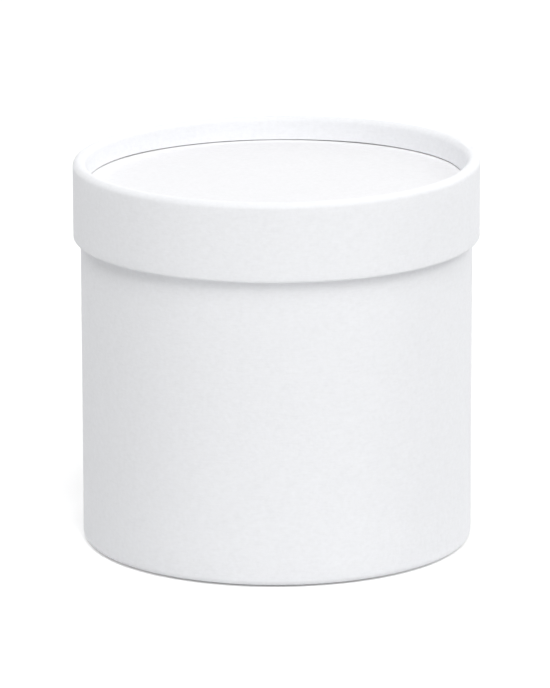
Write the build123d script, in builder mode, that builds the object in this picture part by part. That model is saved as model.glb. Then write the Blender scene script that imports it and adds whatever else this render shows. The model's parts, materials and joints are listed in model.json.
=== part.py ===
"""Round gift tube box of wrapped pasteboard with a lift-off lid.

The box stands on z = 0 with the Z axis as its own axis, and the lid is closed. The body and the lid are
both tubes of wound board with one end curled inwards over a disc, so each disc lies in a shallow recess.
White paper wraps each tube, follows the curl down its leg and is turned in round the open edge.
"""

import os

from build123d import *

os.makedirs("parts", exist_ok=True)

# Overall sizes
body_outer_diameter = 102.0
body_height = 92.7
lid_height = 20.4
lid_recess_depth = 6.0
base_recess_depth = 6.0

# Stock
tube_board_thickness = 1.3
disc_board_thickness = 2.0
wrap_paper_thickness = 0.15
lining_paper_thickness = 0.15
disc_paper_thickness = 0.15

# Curl of the closed end, open edge and turned-in paper
curl_slot_half_width = 0.125
curl_crest_width = 0.3
edge_rounding = 0.4
lid_turn_in = 8.0
mouth_turn_in = 12.0

# Clearances
lid_clearance = 0.3
disc_edge_clearance = 0.05
lid_leg_clearance = 0.3

# Sizes that follow
body_outer_radius = body_outer_diameter / 2
inner_cover_thickness = max(wrap_paper_thickness, lining_paper_thickness)
lid_inner_radius = body_outer_radius + lid_clearance
lid_outer_radius = lid_inner_radius + inner_cover_thickness + tube_board_thickness + wrap_paper_thickness
disc_stack_thickness = disc_board_thickness + 2 * disc_paper_thickness
lid_disc_underside = body_height
lid_disc_top = lid_disc_underside + disc_stack_thickness
total_height = lid_disc_top + lid_recess_depth
lid_edge_height = total_height - lid_height
floor_height = base_recess_depth + disc_stack_thickness

# A curl bends the wrapped board round a narrow slot, in two quarter rounds with a flat crest between.
wrapped_board_thickness = wrap_paper_thickness + tube_board_thickness
curl_bend = wrapped_board_thickness + curl_slot_half_width
edge_bend = wrap_paper_thickness + edge_rounding

# Section planes: local x is the radius and local y the distance from the crest of the curl.
lid_section = Plane(origin=(0, 0, total_height), x_dir=(1, 0, 0), z_dir=(0, 1, 0))
body_section = Plane(origin=(0, 0, 0), x_dir=(1, 0, 0), z_dir=(0, -1, 0))


def bore_radius(outer_radius):
    """Inner radius of the bare board of a tube with the given wrapped outer radius."""
    return outer_radius - wrapped_board_thickness


def skin_lines(outer_radius, length, foot, depth):
    """Lines of the face that lies a depth under a tube's outer skin, from the foot of the curl's leg
    over the crest, along the wall and round the open edge to the inner wall."""
    outer_fold = outer_radius - curl_bend
    inner_fold = outer_fold - curl_crest_width
    leg_face = inner_fold - curl_bend + depth
    wall_face = outer_radius - depth
    outer_edge = outer_radius - edge_bend
    inner_edge = bore_radius(outer_radius) + edge_rounding
    edge_start = length - edge_bend
    Line((leg_face, foot), (leg_face, curl_bend))
    CenterArc((inner_fold, curl_bend), curl_bend - depth, 180, 90)
    Line((inner_fold, depth), (outer_fold, depth))
    CenterArc((outer_fold, curl_bend), curl_bend - depth, 270, 90)
    Line((wall_face, curl_bend), (wall_face, edge_start))
    CenterArc((outer_edge, edge_start), edge_bend - depth, 0, 90)
    Line((outer_edge, length - depth), (inner_edge, length - depth))
    CenterArc((inner_edge, edge_start), edge_bend - depth, 90, 90)


def wrap_outline(outer_radius, length, foot, turn_in):
    """Closed section of the wrap paper, with its turn-in up the inner wall."""
    leg_skin = outer_radius - 2 * curl_bend - curl_crest_width
    leg_back = leg_skin + wrap_paper_thickness
    turn_back = bore_radius(outer_radius)
    turn_skin = turn_back - wrap_paper_thickness
    edge_start = length - edge_bend
    turn_end = length - turn_in
    skin_lines(outer_radius, length, foot, 0)
    Line((turn_skin, edge_start), (turn_skin, turn_end))
    Line((turn_skin, turn_end), (turn_back, turn_end))
    Line((turn_back, turn_end), (turn_back, edge_start))
    skin_lines(outer_radius, length, foot, wrap_paper_thickness)
    Line((leg_back, foot), (leg_skin, foot))


def board_outline(outer_radius, length, foot):
    """Closed section of the tube's board, with the narrow slot between the wall and the curl's leg."""
    outer_fold = outer_radius - curl_bend
    inner_fold = outer_fold - curl_crest_width
    leg_face = inner_fold - curl_bend + wrap_paper_thickness
    leg_back = inner_fold - curl_slot_half_width
    bore = bore_radius(outer_radius)
    skin_lines(outer_radius, length, foot, wrap_paper_thickness)
    Line((bore, length - edge_bend), (bore, curl_bend))
    CenterArc((outer_fold, curl_bend), curl_slot_half_width, 0, -90)
    Line((outer_fold, wrapped_board_thickness), (inner_fold, wrapped_board_thickness))
    CenterArc((inner_fold, curl_bend), curl_slot_half_width, 270, -90)
    Line((leg_back, curl_bend), (leg_back, foot))
    Line((leg_back, foot), (leg_face, foot))


def write_piece(piece, name):
    """Label a finished piece and write its STEP file."""
    piece.label = name
    export_step(piece, f"parts/{name}.step")


# The curl's leg stops short of the lid's disc, which leaves the thin shadow line round the top,
# and carries the base disc of the body.
lid_leg_foot = lid_recess_depth - lid_leg_clearance
base_leg_foot = base_recess_depth

# Lid tube
with BuildPart() as lid_tube:
    with BuildSketch(lid_section):
        with BuildLine():
            board_outline(lid_outer_radius, lid_height, lid_leg_foot)
        make_face()
    revolve(axis=Axis.Z)
write_piece(lid_tube.part, "lid_tube")

# Lid wrap paper
with BuildPart() as lid_wrap_paper:
    with BuildSketch(lid_section):
        with BuildLine():
            wrap_outline(lid_outer_radius, lid_height, lid_leg_foot, lid_turn_in)
        make_face()
    revolve(axis=Axis.Z)
write_piece(lid_wrap_paper.part, "lid_wrap_paper")

# Lid lining paper, from the turned-in edge up to the disc that it carries
lid_bore = bore_radius(lid_outer_radius)
lid_lining_foot = lid_edge_height + lid_turn_in
with BuildPart() as lid_lining_paper:
    with BuildSketch(Plane.XY.offset(lid_lining_foot)):
        Circle(lid_bore)
        Circle(lid_bore - lining_paper_thickness, mode=Mode.SUBTRACT)
    extrude(amount=lid_disc_underside - lid_lining_foot)
write_piece(lid_lining_paper.part, "lid_lining_paper")

# Lid disc: paper, board and paper
lid_disc_radius = lid_bore - disc_edge_clearance
with BuildPart() as lid_inner_paper:
    with BuildSketch(Plane.XY.offset(lid_disc_underside)):
        Circle(lid_disc_radius)
    extrude(amount=disc_paper_thickness)
write_piece(lid_inner_paper.part, "lid_inner_paper")

with BuildPart() as lid_top_board:
    with BuildSketch(Plane.XY.offset(lid_disc_underside + disc_paper_thickness)):
        Circle(lid_disc_radius)
    extrude(amount=disc_board_thickness)
write_piece(lid_top_board.part, "lid_top_board")

with BuildPart() as lid_top_paper:
    with BuildSketch(Plane.XY.offset(lid_disc_top - disc_paper_thickness)):
        Circle(lid_disc_radius)
    extrude(amount=disc_paper_thickness)
write_piece(lid_top_paper.part, "lid_top_paper")

# Body tube
with BuildPart() as body_tube:
    with BuildSketch(body_section):
        with BuildLine():
            board_outline(body_outer_radius, body_height, base_leg_foot)
        make_face()
    revolve(axis=Axis.Z)
write_piece(body_tube.part, "body_tube")

# Body wrap paper, with the ring that the box stands on
with BuildPart() as body_wrap_paper:
    with BuildSketch(body_section):
        with BuildLine():
            wrap_outline(body_outer_radius, body_height, base_leg_foot, mouth_turn_in)
        make_face()
    revolve(axis=Axis.Z)
write_piece(body_wrap_paper.part, "body_wrap_paper")

# Body lining paper, from the floor up to the turned-in edge of the mouth
body_bore = bore_radius(body_outer_radius)
with BuildPart() as body_lining_paper:
    with BuildSketch(Plane.XY.offset(floor_height)):
        Circle(body_bore)
        Circle(body_bore - lining_paper_thickness, mode=Mode.SUBTRACT)
    extrude(amount=body_height - mouth_turn_in - floor_height)
write_piece(body_lining_paper.part, "body_lining_paper")

# Base disc: paper, board and paper, lying on the leg of the bottom curl
base_disc_radius = body_bore - disc_edge_clearance
with BuildPart() as base_under_paper:
    with BuildSketch(Plane.XY.offset(base_recess_depth)):
        Circle(base_disc_radius)
    extrude(amount=disc_paper_thickness)
write_piece(base_under_paper.part, "base_under_paper")

with BuildPart() as base_board:
    with BuildSketch(Plane.XY.offset(base_recess_depth + disc_paper_thickness)):
        Circle(base_disc_radius)
    extrude(amount=disc_board_thickness)
write_piece(base_board.part, "base_board")

with BuildPart() as floor_paper:
    with BuildSketch(Plane.XY.offset(floor_height - disc_paper_thickness)):
        Circle(base_disc_radius)
    extrude(amount=disc_paper_thickness)
write_piece(floor_paper.part, "floor_paper")
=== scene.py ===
"""Looks of a round gift tube box: white wrapped pasteboard with a lift-off lid.

Every piece is a section of paper or board carried round the box's axis. A section gives radii and
distances from the crest of its tube's curl, so the lid and the body share one set of formulas.
Angles start at the front of the box and run towards +X. Sizes are in metres.
"""

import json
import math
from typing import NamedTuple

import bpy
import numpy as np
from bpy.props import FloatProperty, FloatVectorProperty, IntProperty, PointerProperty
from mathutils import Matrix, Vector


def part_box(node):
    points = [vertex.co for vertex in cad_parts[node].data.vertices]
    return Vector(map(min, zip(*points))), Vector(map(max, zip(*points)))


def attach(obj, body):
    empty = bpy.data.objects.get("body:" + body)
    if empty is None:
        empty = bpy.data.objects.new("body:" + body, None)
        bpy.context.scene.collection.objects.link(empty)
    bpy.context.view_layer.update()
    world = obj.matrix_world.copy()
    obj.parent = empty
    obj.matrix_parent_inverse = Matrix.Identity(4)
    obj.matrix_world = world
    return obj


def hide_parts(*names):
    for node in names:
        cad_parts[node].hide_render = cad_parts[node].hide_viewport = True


bl_info = {
    "name": "Round gift tube box",
    "version": (1, 0, 0),
    "blender": (4, 5, 0),
    "location": "View3D > Sidebar > Gift Box",
    "description": "Wrap papers, boards and discs of a round gift box, and its studio",
    "category": "Object",
}

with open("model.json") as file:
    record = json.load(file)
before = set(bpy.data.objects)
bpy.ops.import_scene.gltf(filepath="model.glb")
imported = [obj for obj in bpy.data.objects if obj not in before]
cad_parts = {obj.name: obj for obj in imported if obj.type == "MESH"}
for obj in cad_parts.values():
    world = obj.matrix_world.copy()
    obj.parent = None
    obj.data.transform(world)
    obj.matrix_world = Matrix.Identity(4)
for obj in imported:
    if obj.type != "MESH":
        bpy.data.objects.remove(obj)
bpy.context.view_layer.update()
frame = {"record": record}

MM = 0.001
QUARTER_TURN = math.pi / 2
HALF_TURN = math.pi
THREE_QUARTERS = 1.5 * math.pi
FULL_TURN = 2 * math.pi

# Points along the stretches of a section
BEND_POINTS = 13
SLOT_POINTS = 5
OPEN_EDGE_POINTS = 7
LEG_POINTS = 4
WALL_POINTS = 12
TURN_IN_POINTS = 8
TURN_IN_BACK_POINTS = 4
LINING_POINTS = 10
DISC_FACE_POINTS = 16
DISC_EDGE_POINTS = 4

# Extra columns where the paper climbs onto its covered end
RAMP_COLUMNS = 5

# Angle between two faces past which their edge shows as sharp
SHARP_ANGLE = math.radians(40)


# Tubes, as the frame gives them

class Tube:
    """Sizes of one wrapped tube with its disc, read from the CAD nodes that it is made of. The disc
    papers are the outside one and the inside one, and the seam's end is the angle of the cut end of
    the wrap's overlap."""

    def __init__(self, wrap, board, lining, disc_papers, disc_board, crest_on_top, seam_end):
        low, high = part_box(wrap)
        bodies = frame["record"]["behaviour"]["bodies"]
        self.body = next(body for body, nodes in bodies.items() if wrap in nodes)
        self.seam_end = seam_end
        self.crest = high.z if crest_on_top else low.z
        self.away = -1 if crest_on_top else 1
        self.length = high.z - low.z
        self.outer = high.x
        self.paper = high.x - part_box(board)[1].x
        self.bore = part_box(lining)[1].x
        lining_ends = [self.distance(point.z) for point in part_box(lining)]
        self.lining_start = min(lining_ends)
        self.turn_end = max(lining_ends)
        disc_faces = [self.distance(point.z) for paper in disc_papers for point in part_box(paper)]
        self.recess = min(disc_faces)
        self.disc_back = max(disc_faces)
        self.disc_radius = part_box(disc_board)[1].x
        paper_low, paper_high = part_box(disc_papers[0])
        self.disc_paper = paper_high.z - paper_low.z

    def distance(self, z):
        """Distance of a height from the crest of the curl."""
        return (z - self.crest) * self.away


LID = Tube(
    "lid_wrap_paper", "lid_tube", "lid_lining_paper", ("lid_top_paper", "lid_inner_paper"),
    "lid_top_board", crest_on_top=True, seam_end=math.radians(108))
BODY = Tube(
    "body_wrap_paper", "body_tube", "body_lining_paper", ("base_under_paper", "floor_paper"),
    "base_board", crest_on_top=False, seam_end=math.radians(170))


# Settings that a user would change

class GiftBoxFolds(bpy.types.PropertyGroup):
    """Bends, seams and unevenness of the wrapped tubes and their discs."""

    curl_bend: FloatProperty(
        name="Curl bend", description="Radius of each of a curl's two bends, at the paper's outer face",
        default=1.575 * MM, min=0, unit="LENGTH")
    crest_width: FloatProperty(
        name="Crest width", description="Flat width between the two bends of the curl",
        default=0.3 * MM, min=0, unit="LENGTH")
    leg_lean: FloatProperty(
        name="Leg lean", description="Mean angle by which a curl's leg leans inwards",
        default=math.radians(5.5), min=0, max=math.radians(30), subtype="ANGLE")
    leg_lean_swing: FloatProperty(
        name="Lean swing", description="How much more the leg leans at the back and less at the front",
        default=math.radians(4.5), min=0, max=math.radians(30), subtype="ANGLE")
    leg_pleats: IntProperty(
        name="Pleats", description="Number of fine pleats that the curl presses into its leg",
        default=84, min=0)
    leg_pleat_depth: FloatProperty(
        name="Pleat depth", description="Depth of the fine pleats at the foot of a curl's leg",
        default=0.02 * MM, min=0, unit="LENGTH")
    edge_rounding: FloatProperty(
        name="Edge rounding", description="Radius of the board's open edge under the paper",
        default=0.4 * MM, min=0, unit="LENGTH")
    puckers: IntProperty(
        name="Puckers", description="Number of small pleats in the turned-in paper",
        default=92, min=0)
    pucker_depth: FloatProperty(
        name="Pucker depth", description="Depth of the small pleats in the turned-in paper",
        default=0.05 * MM, min=0, unit="LENGTH")
    overlap_width: FloatProperty(
        name="Overlap", description="Width of the seam where a wrap paper's end lies on its start",
        default=10 * MM, min=0, unit="LENGTH")
    overlap_ramp: FloatProperty(
        name="Overlap ramp", description="Width over which the paper climbs onto its covered end",
        default=0.6 * MM, min=0, unit="LENGTH")
    overlap_cut: FloatProperty(
        name="Overlap cut", description="Width of the step at the overlap's cut end",
        default=0.03 * MM, min=0, unit="LENGTH")
    disc_gap: FloatProperty(
        name="Gap at the disc", description="Mean gap between the lid's curled leg and its disc",
        default=0.22 * MM, min=0, unit="LENGTH")
    gap_waviness: FloatProperty(
        name="Gap waviness", description="How far the gap at the disc narrows and widens round the lid",
        default=0.05 * MM, min=0, unit="LENGTH")
    gap_widening: FloatProperty(
        name="Gap widening", description="How much wider the gap at the disc is at the lid's two sides",
        default=0.1 * MM, min=0, unit="LENGTH")
    disc_bow: FloatProperty(
        name="Disc bow", description="How far the middle of a glued disc sinks",
        default=0.12 * MM, unit="LENGTH")
    board_rounding: FloatProperty(
        name="Disc board rounding", description="Radius of the cut edge of a disc's board",
        default=0.2 * MM, min=0, unit="LENGTH")
    paper_rounding: FloatProperty(
        name="Disc paper rounding", description="Radius of the cut edge of a disc's papers",
        default=0.04 * MM, min=0, unit="LENGTH")
    rim_rise: FloatProperty(
        name="Rim rise", description="How far the lid's uneven rim stands up at its highest",
        default=1.05 * MM, unit="LENGTH")
    rim_rise_place: FloatProperty(
        name="Rim rise place", description="Angle from the front to the highest place of the rim",
        default=math.radians(110), subtype="ANGLE")
    rim_rise_spread: FloatProperty(
        name="Rim rise spread", description="Angle over which the rim's rise falls away",
        default=math.radians(58), min=math.radians(1), subtype="ANGLE")
    base_roll: FloatProperty(
        name="Base roll", description="How far the bottom curl's outer bend clears the floor",
        default=0.4 * MM, min=0, unit="LENGTH")
    out_of_round: FloatProperty(
        name="Out of round", description="How far a tube's radius strays from a true circle",
        default=0.05 * MM, min=0, unit="LENGTH")
    columns: IntProperty(
        name="Columns", description="Steps round a tube", default=720, min=90)


class GiftBoxPapers(bpy.types.PropertyGroup):
    """Colours and surface of the papers and boards."""

    wrap_colour: FloatVectorProperty(
        name="Wrap paper", description="Colour of the paper round the lid and the body",
        subtype="COLOR", default=(0.935, 0.943, 0.965), min=0, max=1)
    # The disc paper is set darker than the wrap paper as painted shade: it tones down the light that
    # falls on the lid's upward face.
    disc_colour_with_painted_shade: FloatVectorProperty(
        name="Disc paper", description="Colour of the paper on the outside of the discs",
        subtype="COLOR", default=(0.88, 0.88, 0.896), min=0, max=1)
    lining_colour: FloatVectorProperty(
        name="Lining paper", description="Colour of the papers inside the box",
        subtype="COLOR", default=(0.92, 0.92, 0.91), min=0, max=1)
    board_colour: FloatVectorProperty(
        name="Board", description="Colour of the recycled grey board",
        subtype="COLOR", default=(0.62, 0.59, 0.54), min=0, max=1)
    roughness: FloatProperty(
        name="Paper roughness", description="Mean roughness of the white papers",
        subtype="FACTOR", default=0.7, min=0, max=1)
    board_roughness: FloatProperty(
        name="Board roughness", description="Mean roughness of the grey board",
        subtype="FACTOR", default=0.86, min=0, max=1)
    gloss: FloatProperty(
        name="Gloss", description="Specular level of the white papers",
        subtype="FACTOR", default=0.1, min=0, max=1)
    cloud_size: FloatProperty(
        name="Cloud size", description="Size of the clouds in the paper that show against the light",
        default=5 * MM, min=0.1 * MM, unit="LENGTH")
    felt_size: FloatProperty(
        name="Felt size", description="Size of the soft bumps that the felt leaves in the paper",
        default=1.2 * MM, min=0.1 * MM, unit="LENGTH")
    felt_height: FloatProperty(
        name="Felt height", description="Height of the felt's soft bumps",
        default=0.04 * MM, min=0, unit="LENGTH")
    fibre_length: FloatProperty(
        name="Fibre length", description="Length of the paper's fibre strands",
        default=2.4 * MM, min=0.1 * MM, unit="LENGTH")
    fibre_width: FloatProperty(
        name="Fibre width", description="Width of the paper's fibre strands",
        default=0.4 * MM, min=0.05 * MM, unit="LENGTH")
    tooth_size: FloatProperty(
        name="Tooth size", description="Size of the finest grain of the paper",
        default=0.3 * MM, min=0.05 * MM, unit="LENGTH")
    grain_height: FloatProperty(
        name="Grain height", description="Height of the paper's fibres and tooth",
        default=0.005 * MM, min=0, unit="LENGTH")
    ply_thickness: FloatProperty(
        name="Ply", description="Thickness of one ply of the board",
        default=0.35 * MM, min=0.05 * MM, unit="LENGTH")
    fleck_size: FloatProperty(
        name="Fleck size", description="Size of the flecks in the recycled board",
        default=0.7 * MM, min=0.05 * MM, unit="LENGTH")
    board_relief: FloatProperty(
        name="Board relief", description="Height of the board's plies and flecks at a cut edge",
        default=0.03 * MM, min=0, unit="LENGTH")


class GiftBoxStudio(bpy.types.PropertyGroup):
    """Floor, light and camera."""

    floor_width: FloatProperty(
        name="Floor", description="Width of the pale floor", default=6.0, min=1, unit="LENGTH")
    floor_colour: FloatVectorProperty(
        name="Floor colour", description="Colour of the pale floor",
        subtype="COLOR", default=(0.87, 0.87, 0.87), min=0, max=1)
    floor_glow: FloatProperty(
        name="Floor white", description="What the camera sees on the floor besides its own light",
        default=0.27, min=0)
    softbox_width: FloatProperty(
        name="Softbox width", description="Width of each soft light",
        default=1.1, min=0, unit="LENGTH")
    softbox_distance: FloatProperty(
        name="Softbox distance", description="Distance of each soft light from the box",
        default=2.5, min=0.2, unit="LENGTH")
    light_level: FloatProperty(
        name="Light level", description="Factor on the power of all soft lights", default=1.05, min=0)
    focal_length: FloatProperty(
        name="Focal length", description="Camera lens for a 36 mm sensor",
        default=309.86, min=20, unit="CAMERA")
    camera_distance: FloatProperty(
        name="Camera distance", description="Distance of the camera in front of the box's axis",
        default=1.5, min=0.2, unit="LENGTH")
    camera_height: FloatProperty(
        name="Camera height", description="Height of the camera over the floor",
        default=0.43505, unit="LENGTH")
    look_down: FloatProperty(
        name="Look down", description="Angle of the camera's view under the horizontal",
        default=math.radians(14.351), subtype="ANGLE")
    pan: FloatProperty(
        name="Pan", description="Turn of the camera's view to the left",
        default=math.radians(0.0171), subtype="ANGLE")
    roll: FloatProperty(
        name="Roll", description="Lean of the camera to the right",
        default=math.radians(0.132), subtype="ANGLE")


SETTING_GROUPS = {
    "giftbox_folds": GiftBoxFolds,
    "giftbox_papers": GiftBoxPapers,
    "giftbox_studio": GiftBoxStudio,
}


# Unevenness round the box

class Wave(NamedTuple):
    """A wave round the box: its height, how often it comes in one turn, and where it starts."""

    height: float
    count: int
    start: float


PLEAT_RHYTHM = (Wave(0.9, 5, 0.4), Wave(0.6, 13, 0.0))
PLEAT_HEIGHT = (Wave(0.3, 8, 1.3),)
PLEAT_MEAN_HEIGHT = 0.7
PUCKER_RHYTHM = (Wave(1.7, 3, 0.0), Wave(1.1, 7, 0.8))
GAP_WAVES = (Wave(0.6, 5, 1.0), Wave(0.4, 9, 2.2))
STRAY_WAVES = (Wave(1.0, 2, 0.7 + QUARTER_TURN), Wave(0.4, 3, 2.0 + QUARTER_TURN))


def sum_of(waves, angles):
    """Sum of waves at some angles: each wave's height times the sine of its count times the angle,
    plus its start."""
    return sum(wave.height * np.sin(wave.count * angles + wave.start) for wave in waves)


def leg_pleats(folds, angles):
    """How far the fine pleats push the foot of a curl's leg outwards: their depth times a height
    that wanders, times the square of a wave whose rhythm wanders too."""
    wave = np.sin(folds.leg_pleats / 2 * angles + sum_of(PLEAT_RHYTHM, angles))
    height = PLEAT_MEAN_HEIGHT + sum_of(PLEAT_HEIGHT, angles)
    return (folds.leg_pleat_depth * height * wave ** 2)[:, None]


def puckers(folds, angles):
    """Depth of the turned-in paper's pleats: the fourth power of a fast wave whose rhythm wanders."""
    wave = np.sin(folds.puckers / 2 * angles + sum_of(PUCKER_RHYTHM, angles))
    return (folds.pucker_depth * wave ** 4)[:, None]


def gap_at(folds, angles):
    """Gap between the lid's leg and its disc: the mean gap, plus the waviness times two quick waves,
    plus the widening times the fourth power of the sine of the angle, which is one at the sides."""
    waviness = folds.gap_waviness * sum_of(GAP_WAVES, angles)
    return folds.disc_gap + waviness + folds.gap_widening * np.sin(angles) ** 4


def seam_step(tube, folds, angles):
    """How far the wrap's outer face stands out over the overlap: nothing before the covered end, one
    paper's thickness from there to the cut end, and a soft ramp between, which is three times the
    square less twice the cube of the share of its width."""
    overlap = folds.overlap_width / tube.outer
    ramp = folds.overlap_ramp / tube.outer
    to_cut_end = tube.seam_end + FULL_TURN - angles
    share = np.clip((overlap + ramp - to_cut_end) / ramp, 0, 1)
    return (tube.paper * share * share * (3 - 2 * share))[:, None]


def rim_lift(tube, folds, turn, radius, distance):
    """How far a tube's uneven curl lifts a point. On the lid it is a bell curve of the angle, times
    the square of the radius. The bottom curl is rolled past its crest, so there it starts one crest
    width inside the crest and grows evenly to the outer bend. Both fade evenly to nothing at the
    open edge."""
    fade = 1 - distance / tube.length
    if tube is LID:
        aside = (turn - folds.rim_rise_place + HALF_TURN) % FULL_TURN - HALF_TURN
        bell = np.exp(-(aside / folds.rim_rise_spread) ** 2)
        return folds.rim_rise * bell * fade * (radius / tube.outer) ** 2
    outer_fold = tube.outer - folds.curl_bend
    share = np.clip(1 - (outer_fold - radius) / (2 * folds.crest_width), 0, 1)
    return folds.base_roll * share * fade


# Section parts

def arc(centre, radius, start, end, points):
    """Arc in the section plane: the centre plus the radius times the cosine and the sine of a turn
    that runs evenly from start to end. The radius and the two turns may have one row for each
    column."""
    turn = start + (end - start) * np.linspace(0, 1, points)
    return centre[0] + radius * np.cos(turn), centre[1] + radius * np.sin(turn)


def between(start, end, points):
    """Points strictly between two section points: start plus an even share of the way to end."""
    share = np.linspace(0, 1, points + 2)[1:-1]
    return tuple(a + (b - a) * share for a, b in zip(start, end))


def corner(radius, distance):
    """One section point as a part of its own."""
    return np.asarray(radius) + np.zeros(1), np.asarray(distance) + np.zeros(1)


def backwards(parts):
    """The same section parts, walked from their end to their start."""
    return [(part[0][..., ::-1], part[1][..., ::-1]) for part in reversed(parts)]


def leg_foot(tube, folds, angles):
    """Distance of the leg's foot from the crest: the disc's, less the gap on the lid."""
    if tube is LID:
        return (tube.recess - gap_at(folds, angles))[:, None]
    return np.full((len(angles), 1), tube.recess)


def leaning_leg(tube, folds, angles, radius, foot):
    """One face of a curl's leg, a radius away from the inner fold: its foot, the way up to the bend,
    and the bend to the crest. It leaves the bend at the turn where the bend's own direction is the
    lean, so the face has no kink. The lean is the mean less the swing times the cosine of the angle."""
    bend = folds.curl_bend
    inner_fold = tube.outer - bend - folds.crest_width
    lean = (folds.leg_lean - folds.leg_lean_swing * np.cos(angles))[:, None]
    top = (inner_fold - radius * np.cos(lean), bend - radius * np.sin(lean))
    pleated = top[0] - (foot - top[1]) * np.tan(lean) + leg_pleats(folds, angles)
    return [
        corner(pleated, foot),
        between((pleated, foot), top, LEG_POINTS),
        arc((inner_fold, bend), radius, HALF_TURN + lean, THREE_QUARTERS, BEND_POINTS),
    ]


def open_edge_start(tube, folds):
    """Distance from the crest at which the rounding of the open edge starts."""
    return tube.length - tube.paper - folds.edge_rounding


def skin(tube, folds, angles, depth, foot):
    """Face a depth under a tube's outer skin. From the foot it goes up the curl's leaning leg, over
    the crest, along the wall, and round the open edge onto the inner wall."""
    bend = folds.curl_bend
    wall = tube.outer - depth
    edge_bend = tube.paper + folds.edge_rounding
    edge_start = open_edge_start(tube, folds)
    outer_edge = (tube.outer - edge_bend, edge_start)
    inner_edge = (tube.bore + folds.edge_rounding, edge_start)
    return leaning_leg(tube, folds, angles, bend - depth, foot) + [
        arc((tube.outer - bend, bend), bend - depth, THREE_QUARTERS, FULL_TURN, BEND_POINTS),
        between((wall, bend), (wall, edge_start), WALL_POINTS),
        arc(outer_edge, edge_bend - depth, 0, QUARTER_TURN, OPEN_EDGE_POINTS),
        arc(inner_edge, edge_bend - depth, QUARTER_TURN, HALF_TURN, OPEN_EDGE_POINTS),
    ]


# Meshes from sections

def round_columns(tube, folds):
    """Angles round a tube, evenly spaced, with a few more at the seam's two ends. They start at the
    cut end of the overlap, so the pattern of the paper starts anew there."""
    even = np.linspace(0, FULL_TURN, folds.columns, endpoint=False)
    overlap = folds.overlap_width / tube.outer
    cut = folds.overlap_cut / tube.outer
    ramp = np.linspace(0, 1, RAMP_COLUMNS) * folds.overlap_ramp / tube.outer
    at_seam = np.append(FULL_TURN - overlap - ramp, FULL_TURN - cut)
    return tube.seam_end + np.unique(np.append(even, at_seam))


def lay_out(columns, parts):
    """Section parts put end to end and repeated over all columns, as two grids."""
    grids = []
    for axis in (0, 1):
        wide = [np.broadcast_to(part[axis], (columns, part[axis].shape[-1])) for part in parts]
        grids.append(np.concatenate(wide, axis=1))
    return grids


def place_section(tube, folds, angles, radius, distance):
    """Puts a section grid in space: x is the radius times the sine of the angle, and y the negative
    radius times its cosine. The radius strays from the circle by a twofold and a threefold wave. The
    height is the crest's, with the distance away from the crest and the lift of the uneven curl."""
    turn = angles[:, None]
    height = tube.crest + tube.away * distance + rim_lift(tube, folds, turn, radius, distance)
    radius = radius * (1 + folds.out_of_round / tube.outer * sum_of(STRAY_WAVES, turn))
    return radius * np.sin(turn), -radius * np.cos(turn), height


def section_length(radius, distance):
    """Way along a closed section from its first point to each point and back to the first."""
    steps = np.hypot(np.diff(radius, append=radius[0]), np.diff(distance, append=distance[0]))
    return np.concatenate([[0], np.cumsum(steps)])


def runs_clockwise(radius, height):
    """Whether a closed section runs clockwise, by the sign of its area: the sum, over its points, of
    the next radius times the height less the radius times the next height."""
    twice_area = np.roll(radius, -1) * height - radius * np.roll(height, -1)
    return twice_area.sum() > 0


def closed_index(rows, points, has_poles):
    """Point numbers of a grid of rows round the axis, whose first row comes again at the end. With
    poles, the two ends of the section are one point each. Otherwise the section closes on itself, so
    its first point comes again too."""
    index = np.arange(rows * points).reshape(rows, points)
    if has_poles:
        index[:, 0] = index[0, 0]
        index[:, -1] = index[0, -1]
    else:
        index = np.concatenate([index, index[:, :1]], axis=1)
    return np.concatenate([index, index[:1]], axis=0)


def cell_corners(grid):
    """What a grid holds at the four corners of each of its cells, in order round the cell."""
    corners = np.stack([grid[:-1, :-1], grid[1:, :-1], grid[1:, 1:], grid[:-1, 1:]], axis=2)
    return corners.reshape(-1, *corners.shape[2:])


def mesh_from_cells(name, points, corners, uvs):
    """Mesh of cells with four corners each. A corner that equals the next one, as beside a pole, is
    left out, and so is a point that no cell uses."""
    keep = corners != np.roll(corners, -1, axis=1)
    used, place = np.unique(corners, return_inverse=True)
    sizes = keep.sum(axis=1)
    mesh = bpy.data.meshes.new(name)
    mesh.vertices.add(len(used))
    mesh.vertices.foreach_set("co", points[used].ravel())
    mesh.loops.add(int(sizes.sum()))
    mesh.loops.foreach_set("vertex_index", place.reshape(corners.shape)[keep])
    mesh.polygons.add(len(sizes))
    mesh.polygons.foreach_set("loop_start", np.concatenate([[0], np.cumsum(sizes)[:-1]]))
    mesh.update(calc_edges=True)
    layer = mesh.uv_layers.new(name="paper")
    layer.data.foreach_set("uv", uvs[keep].ravel())
    mesh.polygons.foreach_set("use_smooth", np.ones(len(sizes), bool))
    mesh.set_sharp_from_angle(angle=SHARP_ANGLE)
    if mesh.validate():
        raise RuntimeError(f"the mesh of {name} has faults")
    return mesh


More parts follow.
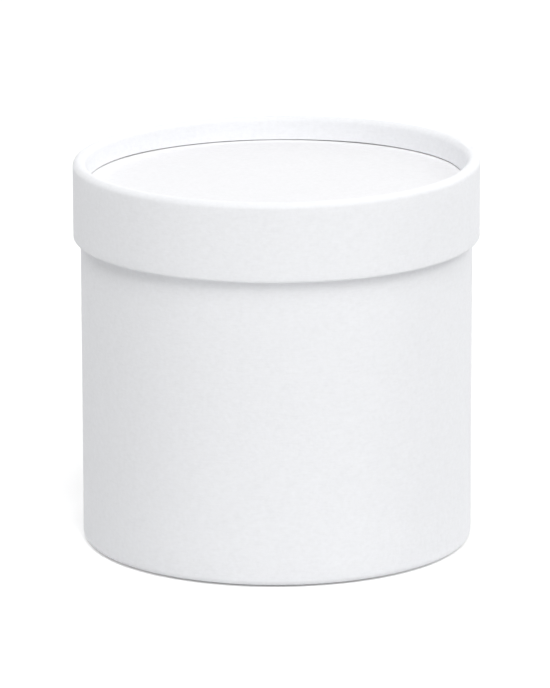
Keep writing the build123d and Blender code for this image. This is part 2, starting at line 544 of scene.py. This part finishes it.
def carry_round(name, tube, folds, angles, parts, bow=0.0):
    """Mesh of a section carried round the axis of its tube, with its faces outwards. No point stands
    out past the crest, and a disc's middle sinks by the bow, which fades with the square of the
    radius. A section that starts on the axis makes a disc, whose UV map is the place on it. Any
    other section closes on itself, and its UV map is the way round and the way along. Both are in
    metres."""
    radius, distance = lay_out(len(angles), parts)
    sunk = np.maximum(distance, 0) + bow * np.clip(1 - (radius / tube.disc_radius) ** 2, 0, 1)
    x, y, z = place_section(tube, folds, angles, radius, sunk)
    has_poles = radius[0, 0] == 0
    index = closed_index(*x.shape, has_poles)
    if has_poles:
        uv = (x.ravel()[index], y.ravel()[index])
    else:
        across = np.append(angles, angles[0] + FULL_TURN) * tube.outer
        along = section_length(radius[0], distance[0])
        uv = np.meshgrid(across, along, indexing="ij")
    corners = cell_corners(index)
    uvs = cell_corners(np.stack(uv, axis=2))
    if runs_clockwise(np.hypot(x[0], y[0]), z[0]):
        corners = corners[:, ::-1]
        uvs = uvs[:, ::-1]
    points = np.stack([x.ravel(), y.ravel(), z.ravel()], axis=1)
    return mesh_from_cells(name, points, corners, uvs)


# Papers and boards

def wrap_sheet(name, tube, folds):
    """Wrap paper: the tube's outer skin with its overlap, the turn-in up the inner wall with its
    puckers, and back along the face that is one paper's thickness under the skin."""
    angles = round_columns(tube, folds)
    foot = leg_foot(tube, folds, angles)
    edge_start = open_edge_start(tube, folds)
    depth = -seam_step(tube, folds, angles)
    face = tube.bore - tube.paper + depth
    end = face - puckers(folds, angles)
    turn_in = [
        between((face, edge_start), (end, tube.turn_end), TURN_IN_POINTS),
        corner(end, tube.turn_end),
        corner(tube.bore, tube.turn_end),
        between((tube.bore, tube.turn_end), (tube.bore, edge_start), TURN_IN_BACK_POINTS),
    ]
    outside = skin(tube, folds, angles, depth, foot)
    inside = skin(tube, folds, angles, tube.paper, foot)
    return carry_round(name, tube, folds, angles, outside + turn_in + backwards(inside))


def board_shell(name, tube, folds):
    """Board of a tube: the face under the wrap paper, the bore up to the curl, and the narrow slot
    that the curl leaves behind its leg."""
    angles = round_columns(tube, folds)
    foot = leg_foot(tube, folds, angles)
    bend = folds.curl_bend
    slot = bend - (tube.outer - tube.bore)
    bore = [
        between((tube.bore, open_edge_start(tube, folds)), (tube.bore, bend), WALL_POINTS),
        arc((tube.outer - bend, bend), slot, FULL_TURN, THREE_QUARTERS, SLOT_POINTS),
    ]
    leg_back = backwards(leaning_leg(tube, folds, angles, slot, foot))
    parts = skin(tube, folds, angles, tube.paper, foot) + bore + leg_back
    return carry_round(name, tube, folds, angles, parts)


def lining_sheet(name, tube, folds):
    """Lining paper: a thin ring on the bore, from the disc to the turned-in edge."""
    angles = round_columns(tube, folds)
    face = tube.bore - tube.paper
    start, end = tube.lining_start, tube.turn_end
    parts = [
        corner(face, start),
        between((face, start), (face, end), LINING_POINTS),
        corner(face, end),
        corner(tube.bore, end),
        between((tube.bore, end), (tube.bore, start), LINING_POINTS),
        corner(tube.bore, start),
    ]
    return carry_round(name, tube, folds, angles, parts)


def disc_sheet(name, tube, folds, near, far, rounding):
    """Round sheet or board between two distances from the crest, with its cut edge rounded: from
    the middle of one face out to the edge and back to the middle of the other."""
    angles = np.linspace(0, FULL_TURN, folds.columns // 2, endpoint=False)
    rim = tube.disc_radius - rounding
    parts = [
        corner(0, near),
        between((0, near), (rim, near), DISC_FACE_POINTS),
        arc((rim, near + rounding), rounding, THREE_QUARTERS, FULL_TURN, DISC_EDGE_POINTS),
        arc((rim, far - rounding), rounding, 0, QUARTER_TURN, DISC_EDGE_POINTS),
        between((rim, far), (0, far), DISC_FACE_POINTS),
        corner(0, far),
    ]
    return carry_round(name, tube, folds, angles, parts, folds.disc_bow)


def disc_core(name, tube, folds):
    """Board of a disc, between its two papers."""
    near = tube.recess + tube.disc_paper
    far = tube.disc_back - tube.disc_paper
    return disc_sheet(name, tube, folds, near, far, folds.board_rounding)


def recess_paper(name, tube, folds):
    """Paper on the face of a disc that lies in the recess."""
    near = tube.recess
    return disc_sheet(name, tube, folds, near, near + tube.disc_paper, folds.paper_rounding)


def inside_paper(name, tube, folds):
    """Paper on the face of a disc that lies inside the box."""
    near = tube.disc_back - tube.disc_paper
    return disc_sheet(name, tube, folds, near, near + tube.disc_paper, folds.paper_rounding)


# Materials

# Brightness of the paper's darkest and palest shade, as shares of its colour
DARK_PAPER = 0.91
PALE_PAPER = 1.085

# Shares of the layers of the sheet in its shade, and in its grain
CLOUD_IN_SHADE = 0.2
FELT_IN_SHADE = 0.5
FIBRE_IN_SHADE = 0.3
FIBRE_IN_GRAIN = 0.6
TOOTH_IN_GRAIN = 0.4

# How far the roughness swings with the grain or the flecks
PAPER_ROUGHNESS_SWING = 0.1
BOARD_ROUGHNESS_SWING = 0.08

# The board's flecks: places along their noise, each with its brightness as a share of the colour
FLECK_STOPS = ((0.30, 0.55), (0.42, 0.92), (0.60, 1.0), (0.74, 1.22))

# How strongly the plies show among the flecks, in the colour and in the relief
PLY_TINT = 0.03
PLY_RELIEF = 0.25


class Wire:
    """One output socket of a node tree. Sums on wires and numbers add Math nodes."""

    def __init__(self, tree, socket=None):
        self.tree = tree
        self.socket = socket

    def node(self, kind, settings=None, inputs=None, out=0):
        """Adds a node: its settings first, then a value or a wire for each named socket. It returns
        the wire of one output, or a list of wires where a tuple names several."""
        made = self.tree.nodes.new(kind)
        for key, value in (settings or {}).items():
            if key == "stops":
                set_stops(made.color_ramp, value)
            else:
                setattr(made, key, value)
        for key, value in (inputs or {}).items():
            if isinstance(value, Wire):
                self.tree.links.new(value.socket, made.inputs[key])
            else:
                made.inputs[key].default_value = value
        if isinstance(out, tuple):
            return [Wire(self.tree, made.outputs[each]) for each in out]
        return Wire(self.tree, made.outputs[out] if len(made.outputs) else None)

    def math(self, operation, *values):
        """The result of a Math node on wires and numbers."""
        return self.node("ShaderNodeMath", {"operation": operation}, dict(enumerate(values)))

    def __add__(self, other):
        return self.math("ADD", self, other)

    def __radd__(self, other):
        return self.math("ADD", other, self)

    def __sub__(self, other):
        return self.math("SUBTRACT", self, other)

    def __rsub__(self, other):
        return self.math("SUBTRACT", other, self)

    def __mul__(self, other):
        return self.math("MULTIPLY", self, other)

    def __rmul__(self, other):
        return self.math("MULTIPLY", other, self)

    def __pow__(self, other):
        return self.math("POWER", self, other)

    def __rpow__(self, other):
        return self.math("POWER", other, self)


def set_stops(ramp, stops):
    """Gives a colour ramp its stops, each a position and a colour."""
    while len(ramp.elements) < len(stops):
        ramp.elements.new(0.5)
    for element, (position, colour) in zip(ramp.elements, stops):
        element.position = position
        element.color = colour


def new_material(name):
    """An empty node material and the wire that starts its nodes."""
    material = bpy.data.materials.new(name)
    material.use_nodes = True
    material.node_tree.nodes.clear()
    return material, Wire(material.node_tree)


def tint(colour, share=1.0):
    """A colour with its brightness times a share, as a socket value."""
    return [part * share for part in colour] + [1.0]


def noise(point, size, detail=2.0, roughness=0.5):
    """Noise with features of a size in metres, from a wire that gives the place."""
    return point.node("ShaderNodeTexNoise", inputs={
        "Vector": point, "Scale": 1 / size, "Detail": detail, "Roughness": roughness})


def paper_material(name, colour, papers):
    """White uncoated paper. Its shade follows the clouds of the sheet, the felt's soft bumps and the
    fibres, which lie along the paper's own way round. Its bump follows the felt, the fibres and the
    finer tooth, and its roughness follows the last two."""
    material, start = new_material(name)
    point = start.node("ShaderNodeTexCoord", out="Object")
    sheet = start.node("ShaderNodeUVMap", {"uv_map": "paper"})
    cloud = noise(point, papers.cloud_size, detail=3.0, roughness=0.55)
    felt = noise(point, papers.felt_size)
    tooth = noise(point, papers.tooth_size)
    strands = start.node("ShaderNodeMapping", inputs={
        "Vector": sheet, "Scale": (1 / papers.fibre_length, 1 / papers.fibre_width, 1.0)})
    fibre = start.node("ShaderNodeTexNoise", {"noise_dimensions": "2D"}, {
        "Vector": strands, "Scale": 1.0, "Detail": 2.0, "Roughness": 0.6, "Distortion": 0.4})
    grain = FIBRE_IN_GRAIN * fibre + TOOTH_IN_GRAIN * tooth
    shade = CLOUD_IN_SHADE * cloud + FELT_IN_SHADE * felt + FIBRE_IN_SHADE * fibre
    base = start.node("ShaderNodeMix", {"data_type": "RGBA"}, {
        "Factor": shade, "A": tint(colour, DARK_PAPER), "B": tint(colour, PALE_PAPER)}, out="Result")
    relief = felt * papers.felt_height + grain * papers.grain_height
    bump = start.node("ShaderNodeBump", inputs={"Strength": 1.0, "Distance": 1.0, "Height": relief})
    surface = start.node("ShaderNodeBsdfPrincipled", inputs={
        "Base Color": base, "Roughness": papers.roughness + PAPER_ROUGHNESS_SWING * (grain - 0.5),
        "Normal": bump, "Specular IOR Level": papers.gloss})
    start.node("ShaderNodeOutputMaterial", inputs={"Surface": surface})
    return material


def board_material(name, papers, stacked):
    """Recycled grey board: plies wound round the axis or stacked along it, with dark and pale fibre
    flecks. The ply lines are a sine of the radius or of the height."""
    material, start = new_material(name)
    point = start.node("ShaderNodeTexCoord", out="Object")
    x, y, z = start.node("ShaderNodeSeparateXYZ", inputs={"Vector": point}, out=("X", "Y", "Z"))
    depth = z if stacked else (x * x + y * y) ** 0.5
    plies = start.math("SINE", depth * (FULL_TURN / papers.ply_thickness))
    fleck = noise(point, papers.fleck_size, detail=4.0, roughness=0.7)
    stops = [(place, tint(papers.board_colour, share)) for place, share in FLECK_STOPS]
    flecks = start.node("ShaderNodeValToRGB", {"stops": stops}, {"Fac": fleck + PLY_TINT * plies})
    bump = start.node("ShaderNodeBump", inputs={
        "Strength": 1.0, "Distance": papers.board_relief, "Height": fleck + PLY_RELIEF * plies})
    surface = start.node("ShaderNodeBsdfPrincipled", inputs={
        "Base Color": flecks, "Normal": bump,
        "Roughness": papers.board_roughness + BOARD_ROUGHNESS_SWING * (fleck - 0.5)})
    start.node("ShaderNodeOutputMaterial", inputs={"Surface": surface})
    return material


def paper_for(slot, papers):
    """The finished paper of a record slot, made once. Its name differs from the slot's own plain
    material, which the frame brings along."""
    colours = {
        "white_wrap_paper": papers.wrap_colour,
        # The disc paper's darker colour is painted shade that tones down the light on the lid's top.
        "white_disc_paper": papers.disc_colour_with_painted_shade,
        "white_lining_paper": papers.lining_colour,
    }
    name = f"finished_{slot}"
    return bpy.data.materials.get(name) or paper_material(name, colours[slot], papers)


# Making the pieces

def add_piece(mesh, tube, material, node):
    """Links a finished mesh as a piece that rides on the tube's body and stands for its CAD node."""
    piece = bpy.data.objects.new(mesh.name, mesh)
    bpy.context.scene.collection.objects.link(piece)
    mesh.materials.append(material)
    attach(piece, tube.body)
    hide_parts(node)


def add_pair(make_mesh, folds, material, lid_piece, body_piece):
    """Adds a piece to the lid and its like to the body. Each is given as the piece's name and the
    CAD node that it stands for."""
    for tube, (name, node) in ((LID, lid_piece), (BODY, body_piece)):
        add_piece(make_mesh(name, tube, folds), tube, material, node)


class GIFTBOX_OT_wrap_papers(bpy.types.Operator):
    """Make the white papers that wrap the lid and the body."""

    bl_idname = "giftbox.wrap_papers"
    bl_label = "Wrap papers"

    def execute(self, context):
        paper = paper_for("white_wrap_paper", context.scene.giftbox_papers)
        add_pair(
            wrap_sheet, context.scene.giftbox_folds, paper,
            ("lid_wrap_sheet", "lid_wrap_paper"), ("body_wrap_sheet", "body_wrap_paper"))
        return {"FINISHED"}


class GIFTBOX_OT_board_tubes(bpy.types.Operator):
    """Make the wound board tubes of the lid and the body."""

    bl_idname = "giftbox.board_tubes"
    bl_label = "Board tubes"

    def execute(self, context):
        board = board_material("finished_wound_board", context.scene.giftbox_papers, stacked=False)
        add_pair(
            board_shell, context.scene.giftbox_folds, board,
            ("lid_board_shell", "lid_tube"), ("body_board_shell", "body_tube"))
        return {"FINISHED"}


class GIFTBOX_OT_lining_papers(bpy.types.Operator):
    """Make the papers that line the inner walls of the lid and the body."""

    bl_idname = "giftbox.lining_papers"
    bl_label = "Lining papers"

    def execute(self, context):
        paper = paper_for("white_lining_paper", context.scene.giftbox_papers)
        add_pair(
            lining_sheet, context.scene.giftbox_folds, paper,
            ("lid_lining_sheet", "lid_lining_paper"), ("body_lining_sheet", "body_lining_paper"))
        return {"FINISHED"}


class GIFTBOX_OT_disc_boards(bpy.types.Operator):
    """Make the board discs of the lid and the base."""

    bl_idname = "giftbox.disc_boards"
    bl_label = "Disc boards"

    def execute(self, context):
        board = board_material("finished_stacked_board", context.scene.giftbox_papers, stacked=True)
        add_pair(
            disc_core, context.scene.giftbox_folds, board,
            ("lid_disc_core", "lid_top_board"), ("base_disc_core", "base_board"))
        return {"FINISHED"}


class GIFTBOX_OT_disc_papers(bpy.types.Operator):
    """Make the papers on both faces of the two discs."""

    bl_idname = "giftbox.disc_papers"
    bl_label = "Disc papers"

    def execute(self, context):
        folds = context.scene.giftbox_folds
        papers = context.scene.giftbox_papers
        for tube, make_mesh, name, node, slot in (
            (LID, recess_paper, "lid_top_sheet", "lid_top_paper", "white_disc_paper"),
            (LID, inside_paper, "lid_inner_sheet", "lid_inner_paper", "white_lining_paper"),
            (BODY, recess_paper, "base_under_sheet", "base_under_paper", "white_disc_paper"),
            (BODY, inside_paper, "floor_sheet", "floor_paper", "white_lining_paper"),
        ):
            add_piece(make_mesh(name, tube, folds), tube, paper_for(slot, papers), node)
        return {"FINISHED"}


# Studio

WHITE = (1, 1, 1, 1)
SENSOR_WIDTH_MM = 36
NEAR_CLIP = 0.1
FAR_CLIP = 20


class Softbox(NamedTuple):
    """A soft light: its angle from the front towards +X and its elevation, both in degrees, and its
    power in watts."""

    name: str
    azimuth: float
    elevation: float
    power: float


SOFTBOXES = (
    Softbox("front_high", 0, 62, 26.7),
    Softbox("front", 0, 42, 15.3),
    Softbox("front_right", 45, 42, 6.3),
    Softbox("right", 90, 42, 11.0),
    Softbox("back_right_low", 135, 22, 19.8),
    Softbox("back_left_low", 225, 22, 14.4),
    Softbox("left_high", 270, 62, 8.7),
)


def seen_directly(start):
    """1 for rays from the camera, from a mirror or through glass, and 0 for the light that a
    surface gathers."""
    camera, glossy, transmission = start.node(
        "ShaderNodeLightPath", out=("Is Camera Ray", "Is Glossy Ray", "Is Transmission Ray"))
    return start.math("MINIMUM", camera + glossy + transmission, 1.0)


def add_floor(studio):
    """A flat pale floor, which keeps the box's shadow and looks white elsewhere."""
    half = studio.floor_width / 2
    mesh = bpy.data.meshes.new("floor")
    mesh.from_pydata(
        [(-half, -half, 0), (half, -half, 0), (half, half, 0), (-half, half, 0)], [], [(0, 1, 2, 3)])
    floor = bpy.data.objects.new("floor", mesh)
    bpy.context.scene.collection.objects.link(floor)
    material, start = new_material("pale_floor")
    matt = start.node("ShaderNodeBsdfDiffuse", inputs={"Color": tint(studio.floor_colour)})
    glow = start.node("ShaderNodeEmission", inputs={
        "Color": WHITE, "Strength": seen_directly(start) * studio.floor_glow})
    both = start.node("ShaderNodeAddShader", inputs={0: matt, 1: glow})
    start.node("ShaderNodeOutputMaterial", inputs={"Surface": both})
    mesh.materials.append(material)


def white_world():
    """A world that looks white, also in gloss, and sheds no light on the box."""
    world = bpy.data.worlds.new("studio")
    world.use_nodes = True
    world.node_tree.nodes.clear()
    start = Wire(world.node_tree)
    white = start.node("ShaderNodeBackground", inputs={
        "Color": WHITE, "Strength": seen_directly(start)})
    start.node("ShaderNodeOutputWorld", inputs={"Surface": white})
    return world


def add_softbox(softbox, studio, middle):
    """A square area light that faces the middle of the box, at its azimuth and elevation."""
    around = math.radians(softbox.azimuth)
    up = math.radians(softbox.elevation)
    level = math.cos(up)
    towards = Vector((math.sin(around) * level, -math.cos(around) * level, math.sin(up)))
    data = bpy.data.lights.new(softbox.name, "AREA")
    data.shape = "SQUARE"
    data.size = studio.softbox_width
    data.energy = softbox.power * studio.light_level
    lamp = bpy.data.objects.new(softbox.name, data)
    lamp.location = middle + studio.softbox_distance * towards
    lamp.rotation_euler = (-towards).to_track_quat("-Z", "Y").to_euler()
    bpy.context.scene.collection.objects.link(lamp)


def add_camera(studio):
    """A camera in front of the box, which looks down on it."""
    data = bpy.data.cameras.new("camera")
    data.sensor_width = SENSOR_WIDTH_MM
    data.lens = studio.focal_length
    data.clip_start = NEAR_CLIP
    data.clip_end = FAR_CLIP
    camera = bpy.data.objects.new("camera", data)
    place = Matrix.Translation((0, -studio.camera_distance, studio.camera_height))
    pan = Matrix.Rotation(studio.pan, 4, "Z")
    tilt = Matrix.Rotation(QUARTER_TURN - studio.look_down, 4, "X")
    roll = Matrix.Rotation(-studio.roll, 4, "Z")
    camera.matrix_world = place @ pan @ tilt @ roll
    bpy.context.scene.collection.objects.link(camera)
    return camera


class GIFTBOX_OT_stage(bpy.types.Operator):
    """Set up the pale floor, the soft studio light and the camera."""

    bl_idname = "giftbox.stage"
    bl_label = "Studio"

    def execute(self, context):
        studio = context.scene.giftbox_studio
        add_floor(studio)
        context.scene.world = white_world()
        middle = Vector((0, 0, LID.crest / 2))
        for softbox in SOFTBOXES:
            add_softbox(softbox, studio, middle)
        context.scene.camera = add_camera(studio)
        context.scene.view_settings.view_transform = "Standard"
        return {"FINISHED"}


# Panel and registration

STEPS = (
    GIFTBOX_OT_wrap_papers,
    GIFTBOX_OT_board_tubes,
    GIFTBOX_OT_lining_papers,
    GIFTBOX_OT_disc_boards,
    GIFTBOX_OT_disc_papers,
    GIFTBOX_OT_stage,
)


class GIFTBOX_PT_panel(bpy.types.Panel):
    """Sizes and colours of the box, and the steps that make it."""

    bl_idname = "GIFTBOX_PT_panel"
    bl_label = "Gift box"
    bl_space_type = "VIEW_3D"
    bl_region_type = "UI"
    bl_category = "Gift Box"

    def draw(self, context):
        for group_name, group in SETTING_GROUPS.items():
            box = self.layout.box()
            for setting in group.__annotations__:
                box.prop(getattr(context.scene, group_name), setting)
        for step in STEPS:
            self.layout.operator(step.bl_idname)


def register():
    """Adds the settings, the steps and the panel to Blender."""
    for group_name, group in SETTING_GROUPS.items():
        bpy.utils.register_class(group)
        setattr(bpy.types.Scene, group_name, PointerProperty(type=group))
    for step in STEPS:
        bpy.utils.register_class(step)
    bpy.utils.register_class(GIFTBOX_PT_panel)


def unregister():
    """Takes the panel, the steps and the settings out again."""
    bpy.utils.unregister_class(GIFTBOX_PT_panel)
    for step in reversed(STEPS):
        bpy.utils.unregister_class(step)
    for group_name, group in SETTING_GROUPS.items():
        delattr(bpy.types.Scene, group_name)
        bpy.utils.unregister_class(group)


def main():
    """Makes every piece and the stage."""
    register()
    for step in STEPS:
        group, name = step.bl_idname.split(".")
        getattr(getattr(bpy.ops, group), name)()


if __name__ == "__main__":
    main()
